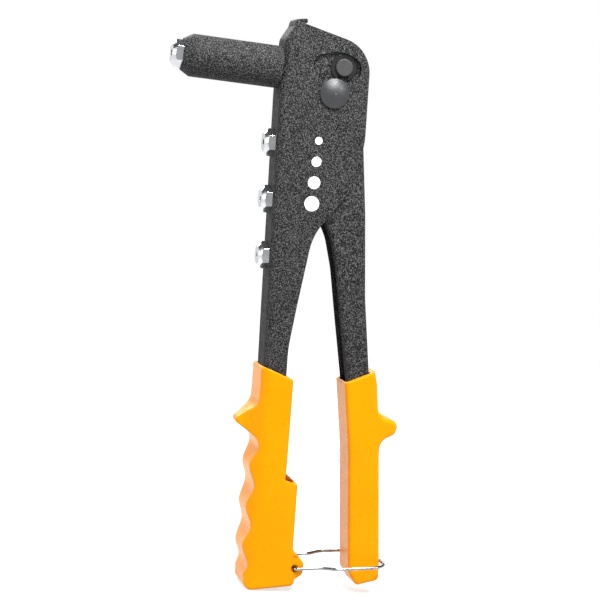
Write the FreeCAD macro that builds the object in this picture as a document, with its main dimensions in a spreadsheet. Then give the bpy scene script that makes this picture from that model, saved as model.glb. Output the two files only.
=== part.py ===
"""Hand riveter: lever-type blind rivet setter with spare nosepieces and a wire handle latch.

Row frame, millimetres: the origin is the centre of the nose tip, +X runs back along the
barrel's axis, +Z runs up from the grips towards the barrel, and the tool's plane is XZ.
Sheet-metal parts and grips are drawn in the pivot's own frame and placed at the pivot.
"""
import FreeCAD, Part
import math
import os
from FreeCAD import Placement, Rotation, Vector

os.makedirs("parts", exist_ok=True)
doc = FreeCAD.newDocument("hand_riveter")

SIZES = {
    # places
    "pivot_x": 74.9,
    "pivot_z": -8.9,
    "drive_x": 3.5,
    "drive_z": 12.2,
    # body channel, drawn from the pivot
    "body_width": 18.0,
    "sheet": 2.0,
    "body_bend": 3.3,
    "spine_x": -24.9,
    "spine_kink_z": -2.0,
    "spine_top_z": 21.6,
    "spine_lean_deg": 3.66,
    "slant_run": 4.6,
    "slant_rise": 8.6,
    "arm_foot_z": -213.0,
    "arm_foot_width": 10.0,
    "tab_width": 11.0,
    "tab_sheet": 1.8,
    "window_half_width": 6.3,
    "window_front_deg": -23.5,
    "window_back_deg": 25.0,
    # lever channel, drawn from the pivot
    "lever_width": 13.2,
    "lever_bend": 2.2,
    "lever_spine_top_z": -15.0,
    # pins
    "pin_radius": 4.0,
    "running_gap": 0.05,
    "head_radius": 6.8,
    "head_rim": 0.9,
    "head_dome": 2.2,
    "screw_radius": 2.4,
    "screw_length": 11.0,
    "drive_pin_half": 8.8,
    "clip_radius": 6.0,
    "clip_sheet": 0.7,
    "clip_groove_radius": 3.3,
    "spacer_radius": 5.0,
    # barrel and what is in it, drawn from the nose tip
    "barrel_front_x": 4.7,
    "barrel_radius": 9.6,
    "barrel_front_radius": 7.2,
    "barrel_chamfer": 4.2,
    "barrel_wall_x": 11.4,
    "bore_radius": 6.8,
    "bush_front_x": 43.0,
    "bush_flange": 3.0,
    "bush_flange_height": 17.8,
    "bush_bore_radius": 4.08,
    "hex_across": 11.0,
    "hex_length": 4.7,
    "tip_radius": 4.2,
    "shank_end_x": 11.8,
    "tail_radius": 2.9,
    "tail_end_x": 13.5,
    "case_front_x": 20.6,
    "case_rear_x": 39.6,
    "case_radius": 6.75,
    "cone_front_radius": 3.5,
    "cone_rear_radius": 4.95,
    "cone_front_x": 22.4,
    "cone_rear_x": 28.4,
    "cone_run_out": 1.5,
    "case_thread_x": 34.6,
    "jaw_gap": 0.15,
    "jaw_bore_radius": 0.9,
    "pusher_radius": 4.7,
    "pusher_rear_x": 30.8,
    "spring_wire": 0.8,
    "spring_radius": 3.8,
    "spring_turns": 2.6,
    "rod_front_x": 35.6,
    "rod_radius": 4.0,
    "rod_bore_radius": 1.8,
    "rod_bore_end_x": 65.4,
    "nut_across": 11.0,
    "nut_length": 1.9,
    # pull rod eye, drawn from the pivot
    "eye_width": 8.6,
    "eye_front_x": -4.7,
    "eye_back_x": 11.2,
    "eye_bottom_z": 5.3,
    "eye_top_z": 19.0,
    "slot_radius": 4.2,
    "slot_low_z": 11.35,
    "slot_high_z": 12.85,
    # spare nosepieces, screwed into the spine
    "spare_first_z": -25.3,
    "spare_pitch": 25.8,
    # grips, drawn from the pivot
    "body_grip_width": 24.0,
    "body_grip_lean_deg": 1.6,
    "finger_first_z": -174.0,
    "finger_pitch": 19.2,
    "finger_crest_x": -18.2,
    "finger_valley_x": -15.9,
    "finger_drift": 0.6,
    "grip_gap": 0.1,
    "pocket_wall": 1.8,
    "pocket_width": 19.0,
    "pocket_floor_z": -207.0,
    "lug_x": 8.2,
    "lug_z": -220.6,
    "lug_width": 23.2,
    "lug_recess_radius": 1.6,
    "lug_recess_depth": 1.0,
    "lever_grip_width": 18.0,
    "lever_grip_fillet": 1.8,
    # wire bail
    "wire_radius": 0.75,
    "bail_tilt_deg": 5.5,
    "bail_end_in": 6.5,
    "bail_leg_half": 12.9,
    "bail_loop_half": 16.4,
    "bail_kink_start": 13.0,
    "bail_kink_end": 19.5,
    "bail_length": 43.9,
    "bail_corner": 7.0,
    "bail_hook": 1.6,
}

sheet = doc.addObject("Spreadsheet::Sheet", "sizes")
for row_number, (alias, value) in enumerate(SIZES.items(), start=1):
    sheet.set(f"A{row_number}", alias)
    sheet.set(f"B{row_number}", str(value))
    sheet.setAlias(f"B{row_number}", alias)
doc.recompute()

subparts = []


def size(alias):
    """Reads one value of the sheet."""
    return float(sheet.get(alias))


def bind(thing, **expressions):
    """Binds properties to formulas over the sheet; two underscores stand for a dot."""
    for name, formula in expressions.items():
        for alias in sorted(SIZES, key=len, reverse=True):
            formula = formula.replace("<" + alias + ">", "sizes." + alias)
        thing.setExpression(name.replace("__", "."), formula)


def keep(thing, label, at_pivot=False):
    """Names a finished sub-part and, if it is drawn from the pivot, places it there."""
    thing.Label = label
    if at_pivot:
        bind(thing, Placement__Base__x="<pivot_x>", Placement__Base__z="<pivot_z>")
    subparts.append(thing)
    return thing


# Outlines ------------------------------------------------------------------------------

def outline(points, splines=None):
    """Lines and tangent corner arcs round a closed outline of (a, b) or (a, b, radius).

    splines gives, for an index, the inner points of a smooth curve to the next corner.
    """
    splines = splines or {}
    corners = []
    for index, point in enumerate(points):
        here = Vector(point[0], point[1], 0)
        radius = point[2] if len(point) > 2 else 0
        if not radius:
            corners.append((here, None, here))
            continue
        before = Vector(*points[index - 1][:2], 0)
        after = Vector(*points[(index + 1) % len(points)][:2], 0)
        to_before = (before - here).normalize()
        to_after = (after - here).normalize()
        half_angle = to_before.getAngle(to_after) / 2
        inward = (to_before + to_after).normalize()
        setback = radius / math.tan(half_angle)
        middle = here + inward * (radius / math.sin(half_angle) - radius)
        corners.append((here + to_before * setback, middle, here + to_after * setback))
    geometry = []
    for index, (start, middle, end) in enumerate(corners):
        if middle is not None:
            geometry.append(Part.Arc(start, middle, end))
        next_start = corners[(index + 1) % len(corners)][0]
        if index in splines:
            curve = Part.BSplineCurve()
            inner = [Vector(a, b, 0) for a, b in splines[index]]
            curve.interpolate([end] + inner + [next_start])
            geometry.append(curve)
        else:
            geometry.append(Part.LineSegment(end, next_start))
    return geometry


def rectangle(low_a, low_b, high_a, high_b):
    return outline([(low_a, low_b), (high_a, low_b), (high_a, high_b), (low_a, high_b)])


def circle(a, b, radius):
    return [Part.Circle(Vector(a, b, 0), Vector(0, 0, 1), radius)]


def hexagon(across, first_corner_deg=0):
    corner = across / math.sqrt(3)
    angles = [math.radians(first_corner_deg + 60 * side) for side in range(6)]
    return outline([(corner * math.cos(angle), corner * math.sin(angle)) for angle in angles])


# Features ------------------------------------------------------------------------------

def new_body(name):
    return doc.addObject("PartDesign::Body", name)


def sketch_on(body, name, plane, geometry):
    """A sketch on one of the body's own origin planes."""
    sketch = body.newObject("Sketcher::SketchObject", name)
    support = [f for f in body.Origin.OriginFeatures if f.Role == plane][0]
    sketch.AttachmentSupport = [(support, "")]
    sketch.MapMode = "FlatFace"
    sketch.addGeometry(geometry, False)
    return sketch


def pad(body, name, plane, geometry, length, centred=True):
    """Adds an outline's extrusion; length is a formula over the sheet."""
    feature = body.newObject("PartDesign::Pad", name)
    feature.Profile = sketch_on(body, name + "_sketch", plane, geometry)
    feature.Midplane = centred
    bind(feature, Length=length)
    doc.recompute()
    return feature


def pocket(body, name, plane, geometry, length):
    """Cuts an outline's extrusion, centred on its plane, and checks that it cut."""
    before = body.Shape.Volume
    feature = body.newObject("PartDesign::Pocket", name)
    feature.Profile = sketch_on(body, name + "_sketch", plane, geometry)
    feature.Midplane = True
    bind(feature, Length=length)
    doc.recompute()
    if body.Shape.Volume > before - 0.01:
        raise RuntimeError(name + " cut nothing")
    return feature


def revolve(body, name, plane, geometry, axis, cut=False):
    """Turns an outline about a sketch axis, adding or cutting."""
    before = body.Shape.Volume if cut else 0
    kind = "PartDesign::Groove" if cut else "PartDesign::Revolution"
    feature = body.newObject(kind, name)
    sketch = sketch_on(body, name + "_sketch", plane, geometry)
    feature.Profile = sketch
    feature.ReferenceAxis = (sketch, [axis])
    feature.Angle = 360
    doc.recompute()
    if cut and body.Shape.Volume > before - 0.01:
        raise RuntimeError(name + " cut nothing")
    return feature


def fillet(body, name, radius, wanted):
    """Rounds every edge of the body's tip for which wanted(edge) is true."""
    tip = body.Tip
    edges = [f"Edge{i}" for i, edge in enumerate(tip.Shape.Edges, start=1) if wanted(edge)]
    feature = body.newObject("PartDesign::Fillet", name)
    feature.Base = (tip, edges)
    bind(feature, Radius=radius)
    doc.recompute()
    return feature


def cut(name, base, tools):
    """Part boolean: base less every tool."""
    feature = doc.addObject("Part::Cut", name)
    feature.Base = base
    if len(tools) == 1:
        feature.Tool = tools[0]
    else:
        union = doc.addObject("Part::MultiFuse", name + "_tools")
        union.Shapes = tools
        feature.Tool = union
    doc.recompute()
    return feature


# Channels ------------------------------------------------------------------------------

LEAN = math.tan(math.radians(size("spine_lean_deg")))
PIN_HOLE = size("pin_radius") + size("running_gap")
TO_X = Rotation(Vector(0, 1, 0), 90)


def spine_at(z):
    """The body spine's outer face: square to the barrel above the kink, leaning below."""
    return size("spine_x") + max(0.0, size("spine_kink_z") - z) * LEAN


def body_outline():
    foot = size("arm_foot_z")
    top = size("spine_top_z")
    slant_x = size("spine_x") + size("slant_run")
    slant_z = top + size("slant_rise")
    return [
        (spine_at(foot), foot),
        (size("spine_x"), size("spine_kink_z"), 60),
        (size("spine_x"), top, 4),
        (slant_x, slant_z),
        (slant_x + 2.2, slant_z - 0.7, 3),
        (14.8, 22.4, 16),
        (17.4, -21, 30),
        (12.7, -44, 24),
        (-1.9, -65.6, 26),
        (-5.2, -98, 80),
        (-6.9, -118, 60),
        (-6.2, -131, 60),
        (spine_at(foot) + size("arm_foot_width"), foot),
    ]


def body_hollow():
    """The channel's inside: open at the back, the top and the foot."""
    wall = size("sheet")
    foot = size("arm_foot_z") - 5
    top = size("spine_top_z")
    beyond = 45
    return [
        (spine_at(foot) + wall, foot),
        (size("spine_x") + wall, size("spine_kink_z"), 58),
        (size("spine_x") + wall, top - 0.6),
        (size("spine_x") + size("slant_run") + 1.7, top + size("slant_rise") - 1.2),
        (size("spine_x") + size("slant_run") + 1.7, beyond),
        (beyond, beyond),
        (beyond, foot),
    ]


def arc_window():
    """A slot round the pivot that the drive pin's end sweeps through."""
    half = size("window_half_width")
    middle = math.hypot(size("drive_x"), size("drive_z"))
    front = math.radians(size("window_front_deg"))
    back = math.radians(size("window_back_deg"))
    centre_deg = (front + back) / 2

    def at(radius, angle):
        return Vector(radius * math.sin(angle), radius * math.cos(angle), 0)

    def cap(angle, outward):
        point = at(middle, angle) + at(half, angle + outward * math.pi / 2)
        return Part.Arc(at(middle - half, angle), point, at(middle + half, angle))

    return [
        Part.Arc(at(middle - half, front), at(middle - half, centre_deg), at(middle - half, back)),
        cap(back, 1),
        Part.Arc(at(middle + half, back), at(middle + half, centre_deg), at(middle + half, front)),
        cap(front, -1),
    ]


def make_body_frame():
    body = new_body("frame_body")
    pad(body, "cheeks", "XZ_Plane", outline(body_outline()), "<body_width>")

    def long_spine_edge(edge):
        box = edge.BoundBox
        on_side = abs(abs(box.Center.y) - size("body_width") / 2) < 0.01 and box.YLength < 0.01
        slant_x = size("spine_x") + size("slant_run")
        on_spine = all(v.X < (slant_x if v.Z > size("spine_top_z") - 5 else spine_at(v.Z) + 0.6)
                       for v in edge.Vertexes)
        return on_side and on_spine

    fillet(body, "spine_bends", "<body_bend>", long_spine_edge)
    pocket(body, "channel", "XZ_Plane", outline(body_hollow()), "<body_width> - 2 * <sheet>")
    left = size("spine_x") + size("slant_run")
    top = size("spine_top_z") + size("slant_rise")
    tab = size("tab_sheet")
    tab_outline = [
        (left - 1.3, -2.0),
        (left - 0.7, 0.8, 1.4),
        (left + 4.6, 1.8, 0.6),
        (left + 5.0, 1.8 - tab, 0.5),
        (left + 2.2, -1.6),
    ]
    raised = [(point[0], point[1] + top, *point[2:]) for point in tab_outline]
    pad(body, "tab", "XZ_Plane", outline(raised), "<tab_width>")
    pocket(body, "drive_window", "XZ_Plane", arc_window(), "<body_width> + 2")
    pocket(body, "pivot_hole", "XZ_Plane", circle(0, 0, PIN_HOLE), "<body_width> + 2")

    tools = []
    barrel_hole = doc.addObject("Part::Cylinder", "barrel_hole")
    bind(barrel_hole, Radius="<bore_radius>", Height="10")
    barrel_hole.Placement = Placement(Vector(size("spine_x") - 4, 0, -size("pivot_z")), TO_X)
    tools.append(barrel_hole)
    for number in range(3):
        seat, turn = spare_seat(number)
        hole = doc.addObject("Part::Cylinder", f"spare_hole_{number + 1}")
        bind(hole, Radius="<pin_radius> + <running_gap>", Height="8")
        hole.Placement = Placement(seat, turn).multiply(Placement(Vector(-4, 0, 0), TO_X))
        tools.append(hole)
    doc.recompute()
    keep(cut("frame_drilled", body, tools), "body_frame", at_pivot=True)


def spare_seat(number):
    """Where a spare nosepiece's head meets the spine, and the turn square to the spine."""
    z = size("spare_first_z") - number * size("spare_pitch")
    turn = Rotation(Vector(0, 1, 0), -size("spine_lean_deg"))
    return Vector(spine_at(z), 0, z), turn


LEVER_BACK = [(13.4, 18.3, 9), (16.8, -14), (23.2, -54, 60), (28.1, -92, 60), (34.7, -128, 120)]
LEVER_FRONT = [(23.5, -131, 120), (16.2, -99, 60), (12.0, -80, 40), (7.6, -66, 24),
               (2.4, -57, 20), (-8, -40, 20), (-11.4, -16, 30), (-12.4, 18.3, 9.4)]
LEVER_FOOT = [(46.4, -203), (36.6, -203)]


def make_lever_arm():
    body = new_body("lever_body")
    pad(body, "lever_cheeks", "XZ_Plane", outline(LEVER_BACK + LEVER_FOOT + LEVER_FRONT), "<lever_width>")
    wall = size("sheet")
    top = size("lever_spine_top_z")

    def back_at(z):
        line = LEVER_BACK + LEVER_FOOT[:1]
        for upper, lower in zip(line, line[1:]):
            if upper[1] + 0.01 >= z >= lower[1] - 0.01:
                share = (upper[1] - z) / (upper[1] - lower[1])
                return upper[0] + share * (lower[0] - upper[0])
        raise ValueError(z)

    def long_back_edge(edge):
        box = edge.BoundBox
        on_side = abs(abs(box.Center.y) - size("lever_width") / 2) < 0.01 and box.YLength < 0.01
        on_back = all(v.Z < -13.9 and v.X > back_at(v.Z) - 1.5 for v in edge.Vertexes)
        return on_side and on_back and box.ZLength > 0.5

    fillet(body, "lever_bends", "<lever_bend>", long_back_edge)
    hollow = [
        (-40, 40),
        (40, 40),
        (40, top),
        (back_at(top) - wall, top),
        (LEVER_BACK[2][0] - wall, LEVER_BACK[2][1], 58),
        (LEVER_BACK[3][0] - wall, LEVER_BACK[3][1], 58),
        (LEVER_BACK[4][0] - wall, LEVER_BACK[4][1], 118),
        (LEVER_FOOT[0][0] + 0.5 - wall, LEVER_FOOT[0][1] - 3),
        (-40, -206),
    ]
    pocket(body, "lever_channel", "XZ_Plane", outline(hollow), "<lever_width> - 2 * <sheet>")
    pin_holes = circle(0, 0, PIN_HOLE) + circle(size("drive_x"), size("drive_z"), PIN_HOLE)
    pocket(body, "lever_holes", "XZ_Plane", pin_holes, "<lever_width> + 2")
    keep(body, "lever_arm", at_pivot=True)


# Barrel --------------------------------------------------------------------------------

def make_barrel():
    front = size("barrel_front_x")
    rear = size("pivot_x") + size("spine_x")
    radius = size("barrel_radius")
    profile = [
        (front, PIN_HOLE),
        (front, size("barrel_front_radius"), 0.8),
        (front + size("barrel_chamfer"), radius, 1.5),
        (rear, radius, 0.5),
        (rear, size("bore_radius")),
        (size("barrel_wall_x"), size("bore_radius")),
        (size("barrel_wall_x"), PIN_HOLE),
    ]
    body = new_body("barrel_body")
    revolve(body, "barrel_turned", "XZ_Plane", outline(profile), "H_Axis")
    keep(body, "barrel")


def make_barrel_bush():
    front = size("bush_front_x")
    flange_front = size("pivot_x") + size("spine_x") + size("sheet")
    bore = size("bush_bore_radius")
    neck = size("bore_radius") - size("running_gap")
    body = new_body("bush_body")
    neck_outline = [(front, bore), (front, neck, 0.5),
                    (flange_front + 0.5, neck), (flange_front + 0.5, bore)]
    revolve(body, "bush_neck", "XZ_Plane", outline(neck_outline), "H_Axis")
    half_height = size("bush_flange_height") / 2
    flange = rectangle(flange_front, -half_height, flange_front + size("bush_flange"), half_height)
    pad(body, "bush_flange", "XZ_Plane", flange, "<body_width> - 2 * <sheet> - 0.2")
    pocket(body, "bush_bore", "YZ_Plane", circle(0, 0, bore), "400")
    keep(body, "barrel_bush")


def make_nosepiece(label, bore_radius, placement=None):
    """Hex head with a rounded front, threaded shank and a tail that opens the jaws."""
    body = new_body(label + "_body")
    hex_feature = body.newObject("PartDesign::Pad", label + "_hex")
    corners = hexagon(size("hex_across"), 90)
    hex_feature.Profile = sketch_on(body, label + "_hex_sketch", "YZ_Plane", corners)
    bind(hex_feature, Length="<hex_length>")
    doc.recompute()
    corner = size("hex_across") / math.sqrt(3)
    tip = size("tip_radius")
    crown = [(0, tip), (1.9, corner + 0.1), (-0.5, corner + 0.1), (-0.5, tip)]
    revolve(body, label + "_crown", "XZ_Plane", outline(crown), "H_Axis", cut=True)
    seat = size("hex_length")
    shank = [
        (seat - 0.5, 0),
        (seat - 0.5, size("pin_radius")),
        (size("shank_end_x"), size("pin_radius"), 0.5),
        (size("shank_end_x"), size("tail_radius")),
        (size("tail_end_x"), size("tail_radius"), 0.6),
        (size("tail_end_x"), 0),
    ]
    revolve(body, label + "_shank", "XZ_Plane", outline(shank), "H_Axis")
    pocket(body, label + "_bore", "YZ_Plane", circle(0, 0, bore_radius), "60")
    if placement is not None:
        body.Placement = placement
    keep(body, label)


MANDREL_BORES = {"fitted_nosepiece": 1.6, "spare_nosepiece_1": 1.4, "spare_nosepiece_2": 1.15,
                 "spare_nosepiece_3": 0.95}


def make_nosepieces():
    pivot = Vector(size("pivot_x"), 0, size("pivot_z"))
    for number, (label, bore_radius) in enumerate(MANDREL_BORES.items()):
        if number == 0:
            make_nosepiece(label, bore_radius)
            continue
        seat, turn = spare_seat(number - 1)
        head = Placement(Vector(-size("hex_length") - size("running_gap"), 0, 0), Rotation())
        make_nosepiece(label, bore_radius, Placement(pivot + seat, turn).multiply(head))


# Pull head: case, jaws, pusher, spring, rod ---------------------------------------------

CONE_RISE = size("cone_rear_radius") - size("cone_front_radius")
CONE_SLOPE = CONE_RISE / (size("cone_rear_x") - size("cone_front_x"))


def make_jaw_case():
    front = size("case_front_x")
    rear = size("case_rear_x")
    thread = size("case_thread_x")
    run_out = size("cone_run_out")
    chamber = size("cone_rear_radius") + run_out * CONE_SLOPE
    profile = [
        (front, size("cone_front_radius") + 0.6),
        (front, size("case_radius"), 0.8),
        (rear, size("case_radius"), 0.4),
        (rear, PIN_HOLE),
        (thread, PIN_HOLE),
        (thread, chamber),
        (size("cone_rear_x") + run_out, chamber),
        (size("cone_front_x"), size("cone_front_radius")),
        (front + 1.0, size("cone_front_radius")),
    ]
    body = new_body("case_body")
    revolve(body, "case_turned", "XZ_Plane", outline(profile), "H_Axis")
    keep(body, "jaw_case")


def make_jaw(label, side):
    """Half of a toothed cone; side is +1 above the split and -1 below it."""
    clear = 0.08
    front = size("cone_front_x") + 0.2
    rear = size("cone_rear_x") - 0.2
    front_radius = size("cone_front_radius") + 0.2 * CONE_SLOPE - clear
    rear_radius = front_radius + (rear - front) * CONE_SLOPE
    bore = size("jaw_bore_radius")
    tooth_pitch = 1.0
    profile = [(front, bore + 0.7), (front, front_radius), (rear, rear_radius), (rear - 1.6, bore)]
    count = int((rear - front - 3.0) / tooth_pitch)
    for tooth in range(count):
        x = rear - 2.0 - tooth * tooth_pitch
        profile += [(x, bore), (x - 0.35, bore + 0.3)]
    body = new_body(label + "_body")
    revolve(body, label + "_turned", "XZ_Plane", outline(profile), "H_Axis")
    gap = size("jaw_gap")
    far = 12
    other_half = rectangle(front - 1, min(gap * side, -far * side), rear + 1, max(gap * side, -far * side))
    pocket(body, label + "_split", "XZ_Plane", other_half, "30")
    keep(body, label)


def make_jaw_pusher():
    front = size("cone_rear_x") - 1.1
    flange = size("cone_rear_x") - 0.1
    rear = size("pusher_rear_x")
    bore = size("rod_bore_radius")
    profile = [
        (front, bore),
        (front, bore + 0.5),
        (flange, size("pusher_radius")),
        (rear, size("pusher_radius"), 0.2),
        (rear, 2.9),
        (rear + 2.4, 2.9, 0.3),
        (rear + 2.4, bore),
    ]
    body = new_body("pusher_body")
    revolve(body, "pusher_turned", "XZ_Plane", outline(profile), "H_Axis")
    keep(body, "jaw_pusher")


def make_jaw_spring():
    """Compression spring between the pusher's flange and the pull rod's end."""
    wire = size("spring_wire") / 2
    start = size("pusher_rear_x") + wire + 0.1
    length = size("rod_front_x") - wire - 0.1 - start
    radius = size("spring_radius")
    pitch = length / size("spring_turns")
    helix = Part.makeHelix(pitch, length, radius)
    along = Vector(0, 2 * math.pi * radius, pitch).normalize()
    outward = Vector(1, 0, 0)
    upward = along.cross(outward)

    def rim(angle):
        return outward * (radius + wire * math.cos(angle)) + upward * (wire * math.sin(angle))

    third = 2 * math.pi / 3
    arcs = [Part.Arc(rim(k * third), rim((k + 0.5) * third), rim((k + 1) * third)) for k in range(3)]
    section = Part.Wire([arc.toShape() for arc in arcs])
    spring = Part.Wire(helix.Edges).makePipeShell([section], True, True)
    feature = doc.addObject("Part::Feature", "spring_coil")
    feature.Shape = spring
    feature.Placement = Placement(Vector(start, 0, 0), TO_X)
    keep(feature, "jaw_spring")


def make_lock_nut():
    body = new_body("nut_body")
    pad_feature = body.newObject("PartDesign::Pad", "nut_hex")
    pad_feature.Profile = sketch_on(body, "nut_hex_sketch", "YZ_Plane", hexagon(size("nut_across"), 30))
    bind(pad_feature, Length="<nut_length>")
    doc.recompute()
    pocket(body, "nut_bore", "YZ_Plane", circle(0, 0, PIN_HOLE), "20")
    bind(body, Placement__Base__x="<case_rear_x> + <running_gap>")
    keep(body, "case_lock_nut")


def make_pull_rod():
    pivot_x = size("pivot_x")
    pivot_z = size("pivot_z")
    eye_front = pivot_x + size("eye_front_x")
    body = new_body("rod_body")
    rod = [
        (size("rod_front_x"), 0),
        (size("rod_front_x"), size("rod_radius"), 0.4),
        (eye_front + 1, size("rod_radius")),
        (eye_front + 1, 0),
    ]
    revolve(body, "rod_turned", "XZ_Plane", outline(rod), "H_Axis")
    bottom = pivot_z + size("eye_bottom_z")
    top = pivot_z + size("eye_top_z")
    eye_back = pivot_x + size("eye_back_x")
    eye = [(eye_front, bottom, 1.5), (eye_back, bottom, 3), (eye_back, top, 4), (eye_front, top, 4)]
    pad(body, "rod_eye", "XZ_Plane", outline(eye), "<eye_width>")
    centre = pivot_x + size("drive_x")
    half = size("slot_radius")
    low = pivot_z + size("slot_low_z")
    high = pivot_z + size("slot_high_z")
    slot = [(centre - half, low - half, half - 0.01), (centre + half, low - half, half - 0.01),
            (centre + half, high + half, half - 0.01), (centre - half, high + half, half - 0.01)]
    pocket(body, "rod_slot", "XZ_Plane", outline(slot), "30")
    bore_outline = rectangle(size("rod_front_x") - 1, 0, size("rod_bore_end_x"), size("rod_bore_radius"))
    revolve(body, "rod_bore", "XZ_Plane", bore_outline, "H_Axis", cut=True)
    keep(body, "pull_rod")


# Pins ----------------------------------------------------------------------------------

def dome(y_seat, y_way, stem_radius):
    """A domed head's half profile, from its seat outward; y_way is -1 or +1."""
    rim = y_seat + y_way * size("head_rim")
    top = rim + y_way * size("head_dome")
    radius = size("head_radius")
    sphere = (radius ** 2 + size("head_dome") ** 2) / (2 * size("head_dome"))
    middle = radius * 0.6
    middle_y = top - y_way * (sphere - math.sqrt(sphere ** 2 - middle ** 2))
    return [
        Part.LineSegment(Vector(stem_radius, y_seat, 0), Vector(radius, y_seat, 0)),
        Part.LineSegment(Vector(radius, y_seat, 0), Vector(radius, rim, 0)),
        Part.Arc(Vector(radius, rim, 0), Vector(middle, middle_y, 0), Vector(0, top, 0)),
    ], top


def stemmed_head(body_name, y_seat, y_way, stem_radius, stem_end):
    head, top = dome(y_seat, y_way, stem_radius)
    geometry = head + [
        Part.LineSegment(Vector(0, top, 0), Vector(0, stem_end, 0)),
        Part.LineSegment(Vector(0, stem_end, 0), Vector(stem_radius, stem_end, 0)),
        Part.LineSegment(Vector(stem_radius, stem_end, 0), Vector(stem_radius, y_seat, 0)),
    ]
    body = new_body(body_name)
    revolve(body, body_name + "_turned", "XY_Plane", geometry, "V_Axis")
    return body


def make_pivot():
    seat = size("body_width") / 2 + size("running_gap")
    pin = stemmed_head("pivot_pin_body", -seat, -1, size("pin_radius"), seat - 0.1)
    bore_end = seat - size("screw_length") - 1
    hole = rectangle(0, bore_end, size("screw_radius") + size("running_gap"), seat + 1)
    revolve(pin, "pivot_pin_bore", "XY_Plane", hole, "V_Axis", cut=True)
    keep(pin, "pivot_pin", at_pivot=True)
    screw = stemmed_head("pivot_screw_body", seat, 1, size("screw_radius"), seat - size("screw_length"))
    keep(screw, "pivot_screw", at_pivot=True)
    spacer = new_body("spacer_body")
    ring = circle(0, 0, size("spacer_radius")) + circle(0, 0, PIN_HOLE)
    pad(spacer, "spacer_ring", "XZ_Plane", ring, "<lever_width> - 2 * <sheet> - 0.1")
    keep(spacer, "pivot_spacer", at_pivot=True)


def make_drive_pin():
    half = size("drive_pin_half")
    radius = size("pin_radius")
    groove = size("clip_groove_radius")
    groove_in = size("lever_width") / 2 + size("running_gap")
    groove_out = groove_in + size("clip_sheet") + 0.1
    body = new_body("drive_pin_body")
    profile = [
        (0, -half), (radius, -half, 0.5), (radius, -groove_out), (groove, -groove_out),
        (groove, -groove_in),
        (radius, -groove_in), (radius, groove_in), (groove, groove_in), (groove, groove_out),
        (radius, groove_out), (radius, half, 0.5), (0, half),
    ]
    revolve(body, "drive_pin_turned", "XY_Plane", outline(profile), "V_Axis")
    bind(body, Placement__Base__x="<pivot_x> + <drive_x>", Placement__Base__z="<pivot_z> + <drive_z>")
    keep(body, "drive_pin")
    for label, side in (("drive_pin_clip_near", -1), ("drive_pin_clip_far", 1)):
        make_clip(label, side * (groove_in + 0.05 + size("clip_sheet") / 2))


def make_clip(label, y):
    """Snap ring: a flat ring with an open mouth below."""
    clip = new_body(label + "_body")
    inner_radius = size("clip_groove_radius") + size("running_gap")
    ring = circle(0, 0, size("clip_radius")) + circle(0, 0, inner_radius)
    pad(clip, label + "_ring", "XZ_Plane", ring, "<clip_sheet>")
    mouth = [(-2.2, -9), (2.2, -9), (2.6, 0.2), (-2.6, 0.2)]
    pocket(clip, label + "_mouth", "XZ_Plane", outline(mouth), "5")
    bind(clip, Placement__Base__x="<pivot_x> + <drive_x>", Placement__Base__z="<pivot_z> + <drive_z>")
    clip.Placement.Base = Vector(0, y, 0)
    keep(clip, label)


# Grips ---------------------------------------------------------------------------------

def finger_side():
    """Crests and valleys of the finger grooves, from the lowest crest up to the horn."""
    pitch = size("finger_pitch")
    drift = size("finger_drift")
    crest_x = size("finger_crest_x")
    first = size("finger_first_z")
    points = [(crest_x + 3 * drift + 1.2, first - 3 * pitch + 6)]
    for groove in (2, 1, 0):
        crest_z = first - groove * pitch
        points.append((size("finger_valley_x") + (groove + 1) * drift, crest_z - pitch * 0.5))
        points.append((crest_x + groove * drift, crest_z))
    points.append((size("finger_valley_x") + drift / 2, first + 7.8))
    return points


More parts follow.
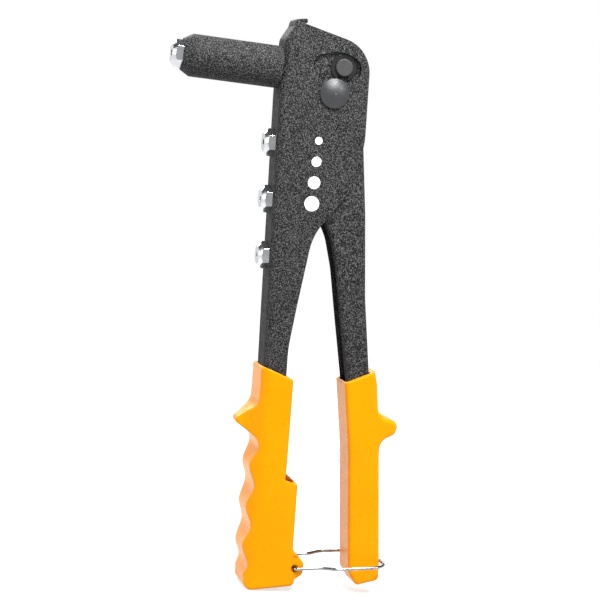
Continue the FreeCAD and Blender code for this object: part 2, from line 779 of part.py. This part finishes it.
def make_body_grip():
    lug_x = size("lug_x")
    lug_z = size("lug_z")
    fingers_low = (-15.0, -226.4)
    side_outline = [
        (-18.3, -127.2, 1.2),
        (-3.4, -132.2, 1.2),
        (-1.4, -174.4),
        (4.7, -181.0, 1.2),
        (6.3, -211.6, 2),
        (9.8, -215.0, 3),
        (12.4, -217.8, 2.2),
        (12.4, -223.0, 2.6),
        (8.9, -225.8, 1),
        (8.6, -228.6, 2.5),
        (-14.6, -232.2, 3.0),
        fingers_low,
        (-17.8, -160.2),
        (-27.4, -154.2, 1.8),
        (-17.6, -145.4, 5),
        (-17.6, -139.0, 8),
    ]
    side = new_body("body_grip_side")
    fingers = {side_outline.index(fingers_low): finger_side()}
    pad(side, "grip_side", "XZ_Plane", outline(side_outline, fingers), "<body_grip_width>")
    section = new_body("body_grip_section")
    half = size("body_grip_width") / 2
    section_outline = [(-32, -3.2, 1.5), (-22, -4.2, 6), (-13.0, -half, 9), (16, -half), (16, half),
                       (-13.0, half, 9), (-22, 4.2, 6), (-32, 3.2, 1.5)]
    pad(section, "grip_section", "XY_Plane", outline(section_outline), "300")
    lean = Rotation(Vector(0, 1, 0), -size("body_grip_lean_deg"))
    section.Placement = Placement(Vector(-1.7, 0, -130), lean)
    shaped = doc.addObject("Part::Common", "body_grip_shaped")
    shaped.Base = side
    shaped.Tool = section
    doc.recompute()

    gap = size("grip_gap")
    top = -110
    foot = size("arm_foot_z") - gap
    right_foot = spine_at(size("arm_foot_z")) + size("arm_foot_width") + gap
    arm_hole = new_body("arm_hole")
    arm_space = [(spine_at(foot) - gap, foot), (spine_at(top) - gap, top),
                 (-4.7, top), (-4.75, -131), (right_foot, foot)]
    pad(arm_hole, "arm_space", "XZ_Plane", outline(arm_space), "<body_width> + 2 * <grip_gap>")
    pocket_hole = new_body("pocket_hole")
    wall = size("pocket_wall")
    floor = size("pocket_floor_z")
    pocket_space = [(right_foot + wall - 0.8, floor, 1), (4.6 - wall + 0.9, floor, 1),
                    (4.6 - wall, -170), (-1.7, -170)]
    pad(pocket_hole, "pocket_space", "XZ_Plane", outline(pocket_space), "<pocket_width>")
    mouth = new_body("pocket_mouth")
    mouth_space = [(-1.5, -172), (8, -172), (8, -181.4), (3.6, -180.6), (-1.5, -179.4, 0.8)]
    pad(mouth, "mouth_space", "XZ_Plane", outline(mouth_space), "6")
    mouth.Placement.Base = Vector(0, -size("pocket_width") / 2 - 3, 0)
    wire_hole = doc.addObject("Part::Cylinder", "wire_hole")
    bind(wire_hole, Radius="<wire_radius> + 0.08", Height="40")
    wire_hole.Placement = Placement(Vector(lug_x, 20, lug_z), Rotation(Vector(1, 0, 0), 90))
    lug_sides = []
    for number, side_way in enumerate((-1, 1), start=1):
        relief = new_body(f"lug_relief_{number}")
        face = [(6.2, -214.6, 1), (16, -214.6), (16, -228.2), (9.2, -228.2), (6.2, -225.5, 1)]
        pad(relief, f"lug_relief_pad_{number}", "XZ_Plane", outline(face), "2")
        relief.Placement.Base = Vector(0, side_way * (size("lug_width") / 2 + 1), 0)
        recess = doc.addObject("Part::Cylinder", f"lug_recess_{number}")
        bind(recess, Radius="<lug_recess_radius>", Height="2 * <lug_recess_depth>")
        face_y = side_way * size("lug_width") / 2 + size("lug_recess_depth")
        recess.Placement = Placement(Vector(lug_x, face_y, lug_z), Rotation(Vector(1, 0, 0), 90))
        lug_sides += [relief, recess]
    doc.recompute()
    openings = [arm_hole, pocket_hole, mouth, wire_hole] + lug_sides
    keep(cut("body_grip_cut", shaped, openings), "body_grip", at_pivot=True)


def make_lever_grip():
    side_outline = [
        (22.6, -132.2),
        (36.6, -125.5),
        (38.4, -131.4, 6),
        (40.6, -144.4, 5),
        (44.6, -147.4, 2.5),
        (51.4, -148.2, 3.4),
        (50.2, -154.6, 3.2),
        (43.3, -158.2, 6),
        (43.7, -165.0, 10),
        (50.8, -218.6, 8),
        (51.2, -225.0, 2.2),
        (40.2, -228.2, 2.6),
        (35.8, -222.1, 2.2),
        (28.4, -163.6, 80),
    ]
    body = new_body("lever_grip_body")
    pad(body, "lever_grip_side", "XZ_Plane", outline(side_outline), "<lever_grip_width>")
    half = size("lever_grip_width") / 2

    def face_edge(edge):
        box = edge.BoundBox
        return box.YLength < 0.01 and abs(abs(box.Center.y) - half) < 0.01 and box.ZMax < -134

    fillet(body, "lever_grip_edges", "<lever_grip_fillet>", face_edge)
    gap = size("grip_gap")
    back_top, front_top = LEVER_BACK[-1], LEVER_FRONT[0]
    arm_space = [
        (20.0, -116),
        (31.9 + gap, -112),
        (back_top[0] + gap, back_top[1]),
        (LEVER_FOOT[0][0] + gap, LEVER_FOOT[0][1] - gap),
        (LEVER_FOOT[1][0] - gap, LEVER_FOOT[1][1] - gap),
        (front_top[0] - gap, front_top[1]),
    ]
    pocket(body, "lever_space", "XZ_Plane", outline(arm_space), "<lever_width> + 2 * <grip_gap>")
    keep(body, "lever_grip", at_pivot=True)


# Wire bail -----------------------------------------------------------------------------

def bail_path():
    """Half the bail, from the hooked end to the middle of the loop, as corner points."""
    leg = size("bail_leg_half")
    loop = size("bail_loop_half")
    return [
        (0, leg - size("bail_end_in"), 0),
        (0, leg, size("bail_hook")),
        (size("bail_kink_start"), leg, 5),
        (size("bail_kink_end"), loop, 5),
        (size("bail_length"), loop, size("bail_corner")),
        (size("bail_length"), 0, 0),
    ]


def rounded_wire(points):
    """An open wire through (u, v, radius) corners in the XY plane."""
    edges = []
    last = Vector(points[0][0], points[0][1], 0)
    for before, here, after in zip(points, points[1:], points[2:]):
        corner = Vector(here[0], here[1], 0)
        to_before = (Vector(before[0], before[1], 0) - corner).normalize()
        to_after = (Vector(after[0], after[1], 0) - corner).normalize()
        half_angle = to_before.getAngle(to_after) / 2
        inward = (to_before + to_after).normalize()
        setback = here[2] / math.tan(half_angle)
        start = corner + to_before * setback
        end = corner + to_after * setback
        middle = corner + inward * (here[2] / math.sin(half_angle) - here[2])
        edges.append(Part.LineSegment(last, start).toShape())
        edges.append(Part.Arc(start, middle, end).toShape())
        last = end
    edges.append(Part.LineSegment(last, Vector(points[-1][0], points[-1][1], 0)).toShape())
    return Part.Wire(edges)


def make_wire_bail():
    half = bail_path()
    other = [(u, -v, radius) for u, v, radius in reversed(half[:-1])]
    path = rounded_wire(half[:-1] + other)
    start = Vector(half[0][0], half[0][1], 0)
    section = Part.Wire(Part.makeCircle(size("wire_radius"), start, Vector(0, 1, 0)))
    bail = path.makePipeShell([section], True, False)
    expected = math.pi * size("wire_radius") ** 2 * path.Length
    if abs(bail.Volume - expected) > 0.02 * expected:
        raise RuntimeError("the bail's volume is wrong")
    feature = doc.addObject("Part::Feature", "bail_wire")
    feature.Shape = bail
    hinge = Vector(size("pivot_x") + size("lug_x"), 0, size("pivot_z") + size("lug_z"))
    feature.Placement = Placement(hinge, Rotation(Vector(0, 1, 0), -size("bail_tilt_deg")))
    keep(feature, "wire_bail")


make_body_frame()
make_lever_arm()
make_barrel()
make_barrel_bush()
make_nosepieces()
make_jaw_case()
make_jaw("jaw_upper", 1)
make_jaw("jaw_lower", -1)
make_jaw_pusher()
make_jaw_spring()
make_lock_nut()
make_pull_rod()
make_pivot()
make_drive_pin()
make_body_grip()
make_lever_grip()
make_wire_bail()
doc.recompute()

for thing in doc.Objects:
    if "Invalid" in thing.State or "Error" in thing.State:
        raise RuntimeError(f"{thing.Name} failed: {thing.State}")
for thing in subparts:
    if thing.Shape.isNull() or not thing.Shape.isValid():
        raise RuntimeError(f"{thing.Label} has no valid shape")
for thing in subparts:
    thing.Shape.exportStep(f"parts/{thing.Label}.step")
    box = thing.Shape.BoundBox
    print(f"{thing.Label:20s} {thing.Shape.Volume:9.1f} mm3 solids {len(thing.Shape.Solids)} "
          f"x {box.XMin:7.2f}..{box.XMax:7.2f} y {box.YMin:6.2f}..{box.YMax:6.2f} "
          f"z {box.ZMin:7.2f}..{box.ZMax:7.2f}")
print(len(subparts), "sub-parts")
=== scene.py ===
"""Hand riveter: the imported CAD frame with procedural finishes, a pale stage and soft light."""
import math

import bpy
from mathutils import Matrix, Vector


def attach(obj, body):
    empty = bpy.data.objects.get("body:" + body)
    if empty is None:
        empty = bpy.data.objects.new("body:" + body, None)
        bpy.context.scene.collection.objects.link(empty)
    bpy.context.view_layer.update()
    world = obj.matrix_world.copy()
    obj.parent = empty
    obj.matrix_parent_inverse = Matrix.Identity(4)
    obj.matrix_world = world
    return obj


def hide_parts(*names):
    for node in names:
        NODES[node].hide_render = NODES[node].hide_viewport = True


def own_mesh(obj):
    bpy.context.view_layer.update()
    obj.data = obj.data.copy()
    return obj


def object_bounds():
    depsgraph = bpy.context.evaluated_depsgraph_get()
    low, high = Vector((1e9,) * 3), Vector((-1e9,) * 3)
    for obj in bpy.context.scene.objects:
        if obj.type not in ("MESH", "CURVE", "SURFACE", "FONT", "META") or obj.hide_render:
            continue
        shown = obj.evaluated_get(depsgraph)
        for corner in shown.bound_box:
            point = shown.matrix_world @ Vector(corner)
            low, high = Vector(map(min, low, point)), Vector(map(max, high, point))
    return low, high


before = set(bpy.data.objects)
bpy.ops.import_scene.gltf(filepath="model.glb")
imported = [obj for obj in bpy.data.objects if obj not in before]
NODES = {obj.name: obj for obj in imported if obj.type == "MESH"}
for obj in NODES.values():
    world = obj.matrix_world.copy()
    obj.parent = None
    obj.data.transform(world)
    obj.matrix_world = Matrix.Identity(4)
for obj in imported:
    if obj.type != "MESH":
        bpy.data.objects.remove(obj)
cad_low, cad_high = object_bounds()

MM = 0.001


# Node helpers ---------------------------------------------------------------------------

class Shader:
    """A material's node tree: one principled surface, and short calls for the nodes that feed it.

    Sizes and depths are in millimetres. A value is a number or another node's output.
    """

    def __init__(self, name):
        self.material = bpy.data.materials.new(name)
        self.material.use_nodes = True
        self.tree = self.material.node_tree
        self.surface = self.tree.nodes["Principled BSDF"]
        self.place = self.add("ShaderNodeTexCoord").outputs["Object"]

    def add(self, kind, **settings):
        node = self.tree.nodes.new(kind)
        for name, value in settings.items():
            setattr(node, name, value)
        return node

    def put(self, socket, value):
        if isinstance(value, bpy.types.NodeSocket):
            self.tree.links.new(value, socket)
        else:
            socket.default_value = value

    def set(self, **inputs):
        for name, value in inputs.items():
            self.put(self.surface.inputs[name.replace("_", " ")], value)

    def math(self, operation, a, b=0.0):
        node = self.add("ShaderNodeMath", operation=operation)
        self.put(node.inputs[0], a)
        self.put(node.inputs[1], b)
        return node.outputs[0]

    def combine(self, a, share_a, b, share_b):
        """Two values added in the given shares."""
        return self.math("ADD", self.math("MULTIPLY", a, share_a), self.math("MULTIPLY", b, share_b))

    def stretched(self, scale):
        node = self.add("ShaderNodeMapping")
        self.put(node.inputs["Vector"], self.place)
        node.inputs["Scale"].default_value = scale
        return node.outputs[0]

    def noise(self, size_mm, detail=3.0, roughness=0.55, vector=None):
        node = self.add("ShaderNodeTexNoise")
        self.put(node.inputs["Vector"], vector or self.place)
        node.inputs["Scale"].default_value = 1 / (size_mm * MM)
        node.inputs["Detail"].default_value = detail
        node.inputs["Roughness"].default_value = roughness
        return node.outputs["Fac"]

    def cells(self, size_mm, smooth=0.6):
        node = self.add("ShaderNodeTexVoronoi", feature="SMOOTH_F1")
        self.put(node.inputs["Vector"], self.place)
        node.inputs["Scale"].default_value = 1 / (size_mm * MM)
        node.inputs["Smoothness"].default_value = smooth
        return node.outputs["Distance"]

    def spread(self, value, low, high, from_low=0.3, from_high=0.7):
        """The value's range, by default the middle of a noise, stretched over low to high."""
        node = self.add("ShaderNodeMapRange")
        self.put(node.inputs["Value"], value)
        limits = {"From Min": from_low, "From Max": from_high, "To Min": low, "To Max": high}
        for name, number in limits.items():
            node.inputs[name].default_value = number
        return node.outputs["Result"]

    def ramp(self, value, stops):
        node = self.add("ShaderNodeValToRGB")
        self.put(node.inputs["Fac"], value)
        elements = node.color_ramp.elements
        while len(elements) < len(stops):
            elements.new(0.5)
        for element, (position, colour) in zip(elements, stops):
            element.position = position
            element.color = (*colour, 1)
        return node.outputs["Color"]

    def mix(self, share, a, b):
        node = self.add("ShaderNodeMix", data_type="RGBA")
        self.put(node.inputs["Factor"], share)
        self.put(node.inputs[6], a if isinstance(a, bpy.types.NodeSocket) else (*a, 1))
        self.put(node.inputs[7], b if isinstance(b, bpy.types.NodeSocket) else (*b, 1))
        return node.outputs[2]

    def bump(self, height, strength, depth_mm, onto=None):
        node = self.add("ShaderNodeBump")
        node.inputs["Strength"].default_value = strength
        node.inputs["Distance"].default_value = depth_mm * MM
        self.put(node.inputs["Height"], height)
        if onto is not None:
            self.put(node.inputs["Normal"], onto)
        return node.outputs["Normal"]

    def rounded(self, radius_mm, samples=4):
        node = self.add("ShaderNodeBevel", samples=samples)
        node.inputs["Radius"].default_value = radius_mm * MM
        return node.outputs["Normal"]

    def edges(self, radius_mm):
        """1 where the surface turns sharply within the radius, 0 on open faces."""
        turn = self.add("ShaderNodeVectorMath", operation="DOT_PRODUCT")
        self.put(turn.inputs[0], self.rounded(radius_mm))
        self.put(turn.inputs[1], self.add("ShaderNodeNewGeometry").outputs["True Normal"])
        return self.spread(turn.outputs["Value"], 1.0, 0.0, 0.82, 0.995)

    def along(self, axis):
        node = self.add("ShaderNodeSeparateXYZ")
        self.put(node.inputs[0], self.place)
        return node.outputs[axis]


# Finishes -------------------------------------------------------------------------------

# Printed mark: four dots of growing size, the top one first, down the near cheek
DOT_RADII = (1.728, 2.304, 2.88, 3.456)
DOT_TOP = (70.4, -31.0)
DOT_STEP = (0.1, -9.6)
DOT_SOFTNESS = 0.05
NEAR_CHEEK_Y = -8.9


def size_mark(shader):
    """1 inside the printed dots on the near cheek, a little less where the print has worn, 0 elsewhere."""
    x, y, z = (shader.along(axis) for axis in "XYZ")
    shape = None
    for number, radius in enumerate(DOT_RADII):
        across = shader.math("SUBTRACT", x, (DOT_TOP[0] + number * DOT_STEP[0]) * MM)
        up = shader.math("SUBTRACT", z, (DOT_TOP[1] + number * DOT_STEP[1]) * MM)
        reach = shader.math("SQRT", shader.math("ADD", shader.math("MULTIPLY", across, across),
                                                shader.math("MULTIPLY", up, up)))
        dot = shader.spread(reach, 1.0, 0.0, (radius - DOT_SOFTNESS) * MM, (radius + DOT_SOFTNESS) * MM)
        shape = dot if shape is None else shader.math("MAXIMUM", shape, dot)
    near = shader.math("LESS_THAN", y, NEAR_CHEEK_Y * MM)
    worn = shader.spread(shader.noise(0.35), 0.72, 1.0, 0.3, 0.45)
    return shader.math("MULTIPLY", shader.math("MULTIPLY", shape, near), worn)


def textured_paint(name, marked=False):
    """Dark sandy paint: light grains on near-black, rubbed paler on the edges."""
    shader = Shader(name)
    grain = shader.noise(0.57, detail=2.0, roughness=0.6)
    fleck = shader.noise(0.34, detail=1.0)
    cells = shader.cells(0.8)
    patch = shader.noise(14.0, detail=2.0)
    mixed = shader.combine(grain, 0.65, fleck, 0.35)
    colour = shader.ramp(mixed, [(0.41, (0.0015, 0.0015, 0.0015)), (0.5, (0.0115, 0.0115, 0.012)),
                                 (0.6, (0.072, 0.072, 0.0735))])
    colour = shader.mix(shader.spread(patch, 0.0, 0.15), colour, (0.02, 0.02, 0.0205))
    rub = shader.math("MULTIPLY", shader.edges(0.5), shader.spread(shader.noise(1.4), 0.1, 0.8))
    colour = shader.mix(rub, colour, (0.09, 0.09, 0.094))
    if marked:
        colour = shader.mix(size_mark(shader), colour, (0.62, 0.62, 0.61))
    normal = shader.bump(shader.combine(cells, 0.5, mixed, 0.8), 0.8, 0.16, shader.rounded(0.35))
    shader.set(Base_Color=colour, Roughness=shader.spread(grain, 0.55, 0.8), Normal=normal, Metallic=0.0,
               Specular_IOR_Level=0.06)
    return shader.material


def amber_plastic():
    """Moulded amber plastic: faint clouds of tone, scuffed gloss, soft edges."""
    shader = Shader("amber_plastic_moulded")
    cloud = shader.noise(22.0, detail=2.0)
    skin = shader.noise(0.9, detail=3.0)
    colour = shader.mix(shader.spread(cloud, 0.0, 1.0), (0.5, 0.169, 0.0), (0.54, 0.183, 0.0))
    scuff = shader.noise(4.0, detail=4.0)
    height = shader.math("ADD", skin, shader.math("MULTIPLY", cloud, 3.0))
    normal = shader.bump(height, 0.012, 0.1, shader.rounded(2.0, samples=8))
    shader.set(Base_Color=colour, Roughness=shader.spread(scuff, 0.25, 0.36), Normal=normal,
               Specular_Tint=(1.0, 0.65, 0.1, 1), Specular_IOR_Level=0.3)
    return shader.material


def metal(name, colour, darker, roughness, stretch=(1.0, 1.0, 1.0), grain_mm=0.5, bump=0.12, edge_mm=0.2,
          metallic=1.0):
    """Bare or plated metal: tone patches, turning marks and smudged roughness."""
    shader = Shader(name)
    marks = shader.noise(grain_mm, detail=3.0, vector=shader.stretched(stretch))
    patch = shader.noise(3.2, detail=3.0)
    tone = shader.mix(shader.spread(patch, 0.0, 1.0), colour, darker)
    tone = shader.mix(shader.math("MULTIPLY", shader.edges(edge_mm * 1.5), 0.5), tone, colour)
    smudge = shader.spread(shader.combine(marks, 0.5, patch, 0.5), *roughness)
    normal = shader.bump(marks, bump, 0.05, shader.rounded(edge_mm))
    shader.set(Base_Color=tone, Metallic=metallic, Roughness=smudge, Normal=normal)
    return shader.material


paint = textured_paint("textured_paint_plain")
paint_marked = textured_paint("textured_paint_marked", marked=True)
amber = amber_plastic()
zinc = metal("bright_zinc_plate", (0.64, 0.65, 0.67), (0.44, 0.45, 0.47), (0.14, 0.24),
             stretch=(3.0, 1.0, 1.0), grain_mm=0.8, bump=0.015)
black = metal("blackened_steel_satin", (0.028, 0.0285, 0.03), (0.019, 0.0195, 0.021), (0.36, 0.48),
              bump=0.04, metallic=0.3)
clip_black = metal("blackened_spring_steel", (0.004, 0.004, 0.0042), (0.002, 0.002, 0.0022), (0.25, 0.36),
                   bump=0.03, metallic=0.0)
pin_steel = metal("oiled_pin_steel", (0.034, 0.034, 0.035), (0.024, 0.024, 0.025), (0.4, 0.52),
                  stretch=(1.0, 4.0, 1.0), bump=0.06, metallic=0.4)
steel = metal("tool_steel_turned", (0.5, 0.5, 0.51), (0.3, 0.3, 0.31), (0.24, 0.42), stretch=(8.0, 1.0, 1.0))
wire = metal("bright_wire_drawn", (0.36, 0.36, 0.37), (0.16, 0.16, 0.175), (0.14, 0.28),
             stretch=(0.4, 0.4, 0.4), bump=0.05, edge_mm=0.1)

FINISHES = {
    "body_frame": paint_marked, "lever_arm": paint, "barrel": paint,
    "barrel_bush": steel, "jaw_case": steel, "jaw_upper": steel, "jaw_lower": steel, "jaw_pusher": steel,
    "jaw_spring": wire, "case_lock_nut": steel, "pull_rod": black, "pivot_spacer": steel,
    "fitted_nosepiece": zinc, "spare_nosepiece_1": zinc, "spare_nosepiece_2": zinc, "spare_nosepiece_3": zinc,
    "pivot_pin": black, "pivot_screw": black, "drive_pin": pin_steel,
    "drive_pin_clip_near": clip_black, "drive_pin_clip_far": clip_black,
    "body_grip": amber, "lever_grip": amber, "wire_bail": wire,
}
for name, finish in FINISHES.items():
    for slot in NODES[name].material_slots:
        slot.material = finish


# The jaw spring --------------------------------------------------------------------------

def make_working_spring():
    """A copy of the jaw spring, with a mesh of its own, rides with the pull head; the original spring is
    hidden.
    """
    spring = bpy.data.objects.new("jaw_spring_coil", NODES["jaw_spring"].data.copy())
    bpy.context.scene.collection.objects.link(spring)
    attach(spring, "pull_head")
    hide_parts("jaw_spring")
    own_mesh(spring)


make_working_spring()


# Stage ----------------------------------------------------------------------------------

FLOOR_RADIUS, FLOOR_SIDES, FLOOR_DROP = 8, 96, 0.5 * MM


def make_floor():
    """A pale disc that fades into the backdrop's own tone far from the object."""
    mesh = bpy.data.meshes.new("floor")
    turns = [2 * math.pi * k / FLOOR_SIDES for k in range(FLOOR_SIDES)]
    ring = [(math.cos(a) * FLOOR_RADIUS, math.sin(a) * FLOOR_RADIUS, 0) for a in turns]
    mesh.from_pydata(ring, [], [list(range(FLOOR_SIDES))])
    floor = bpy.data.objects.new("floor", mesh)
    bpy.context.scene.collection.objects.link(floor)
    floor.location = (0.09, 0, cad_low.z - FLOOR_DROP)
    shader = Shader("pale_floor")
    reach = shader.add("ShaderNodeVectorMath", operation="LENGTH")
    shader.put(reach.inputs[0], shader.place)
    far = shader.spread(reach.outputs["Value"], 0.65, 1.0, 0.25, 1.3)
    shader.set(Base_Color=shader.mix(shader.noise(60.0), (0.9, 0.9, 0.9), (0.87, 0.87, 0.87)),
               Roughness=0.75)
    glow = shader.add("ShaderNodeEmission")
    forward = shader.spread(shader.along("Y"), 1.0, 0.0, -2.2, -0.8)
    shader.put(glow.inputs["Color"], shader.mix(forward, (1.0, 1.0, 1.0), (0.5, 0.5, 0.5)))
    blend = shader.add("ShaderNodeMixShader")
    shader.put(blend.inputs[0], far)
    shader.put(blend.inputs[1], shader.surface.outputs[0])
    shader.put(blend.inputs[2], glow.outputs[0])
    shader.put(shader.tree.nodes["Material Output"].inputs["Surface"], blend.outputs[0])
    mesh.materials.append(shader.material)


def make_world():
    """White round the horizon, dark overhead and dim in front, so that metal has tones to reflect."""
    world = bpy.data.worlds.new("studio")
    bpy.context.scene.world = world
    world.use_nodes = True
    tree = world.node_tree
    split = tree.nodes.new("ShaderNodeSeparateXYZ")
    tree.links.new(tree.nodes.new("ShaderNodeTexCoord").outputs["Generated"], split.inputs[0])

    def fade(axis, start, end, first, last):
        node = tree.nodes.new("ShaderNodeMapRange")
        tree.links.new(split.outputs[axis], node.inputs["Value"])
        limits = {"From Min": start, "From Max": end, "To Min": first, "To Max": last}
        for name, number in limits.items():
            node.inputs[name].default_value = number
        return node.outputs["Result"]

    level = tree.nodes.new("ShaderNodeMath")
    level.operation = "MULTIPLY"
    tree.links.new(fade("Z", 0.2, 0.45, 1.0, 0.1), level.inputs[0])
    tree.links.new(fade("Y", -0.75, -0.35, 0.5, 1.0), level.inputs[1])
    tree.links.new(level.outputs[0], tree.nodes["Background"].inputs["Color"])


def soft_light(name, place, size, power, target=None):
    """A rectangular light aimed at the target, which is the tool's middle unless given."""
    data = bpy.data.lights.new(name, "AREA")
    data.shape = "RECTANGLE"
    data.size, data.size_y = size
    data.energy = power
    light = bpy.data.objects.new(name, data)
    bpy.context.scene.collection.objects.link(light)
    light.location = place
    aim = (target or TARGET) - Vector(place)
    light.rotation_mode = "QUATERNION"
    light.rotation_quaternion = aim.to_track_quat("-Z", "Y")


# Camera: level with the tool's middle, a little to the nose's side, rolled clockwise
TARGET = Vector((0.07313, 0, -0.1051))
AZIMUTH, ELEVATION, ROLL, DISTANCE, LENS = math.radians(-15), math.radians(5), math.radians(7), 0.75, 96.75


def make_camera():
    back = Vector((math.sin(AZIMUTH) * math.cos(ELEVATION), -math.cos(AZIMUTH) * math.cos(ELEVATION),
                   math.sin(ELEVATION)))
    right = Vector((0, 0, 1)).cross(back).normalized()
    up = back.cross(right)
    turned_right = right * math.cos(ROLL) + up * math.sin(ROLL)
    turned_up = up * math.cos(ROLL) - right * math.sin(ROLL)
    data = bpy.data.cameras.new("camera")
    data.lens = LENS
    data.sensor_width = 36
    data.clip_start, data.clip_end = 0.01, 50
    camera = bpy.data.objects.new("camera", data)
    bpy.context.scene.collection.objects.link(camera)
    axes = Matrix((turned_right, turned_up, back)).transposed().to_4x4()
    camera.matrix_world = Matrix.Translation(TARGET + back * DISTANCE) @ axes
    bpy.context.scene.camera = camera


make_floor()
make_world()
soft_light("key", (0.25, -0.85, 1.15), (0.35, 0.35), 34)
soft_light("head", (0.06, -0.25, 0.22), (0.2, 0.2), 2.0, target=Vector((0.07, 0, 0.01)))
soft_light("front", (1.15, -1.1, 0.75), (0.5, 0.5), 16)
soft_light("left", (-1.4, -0.25, 0.25), (0.5, 0.8), 12)
soft_light("top", (0.1, -0.1, 1.3), (0.7, 0.5), 20)
soft_light("back", (-0.3, 1.3, 0.8), (0.9, 0.7), 36)
make_camera()
bpy.context.scene.view_settings.view_transform = "Standard"
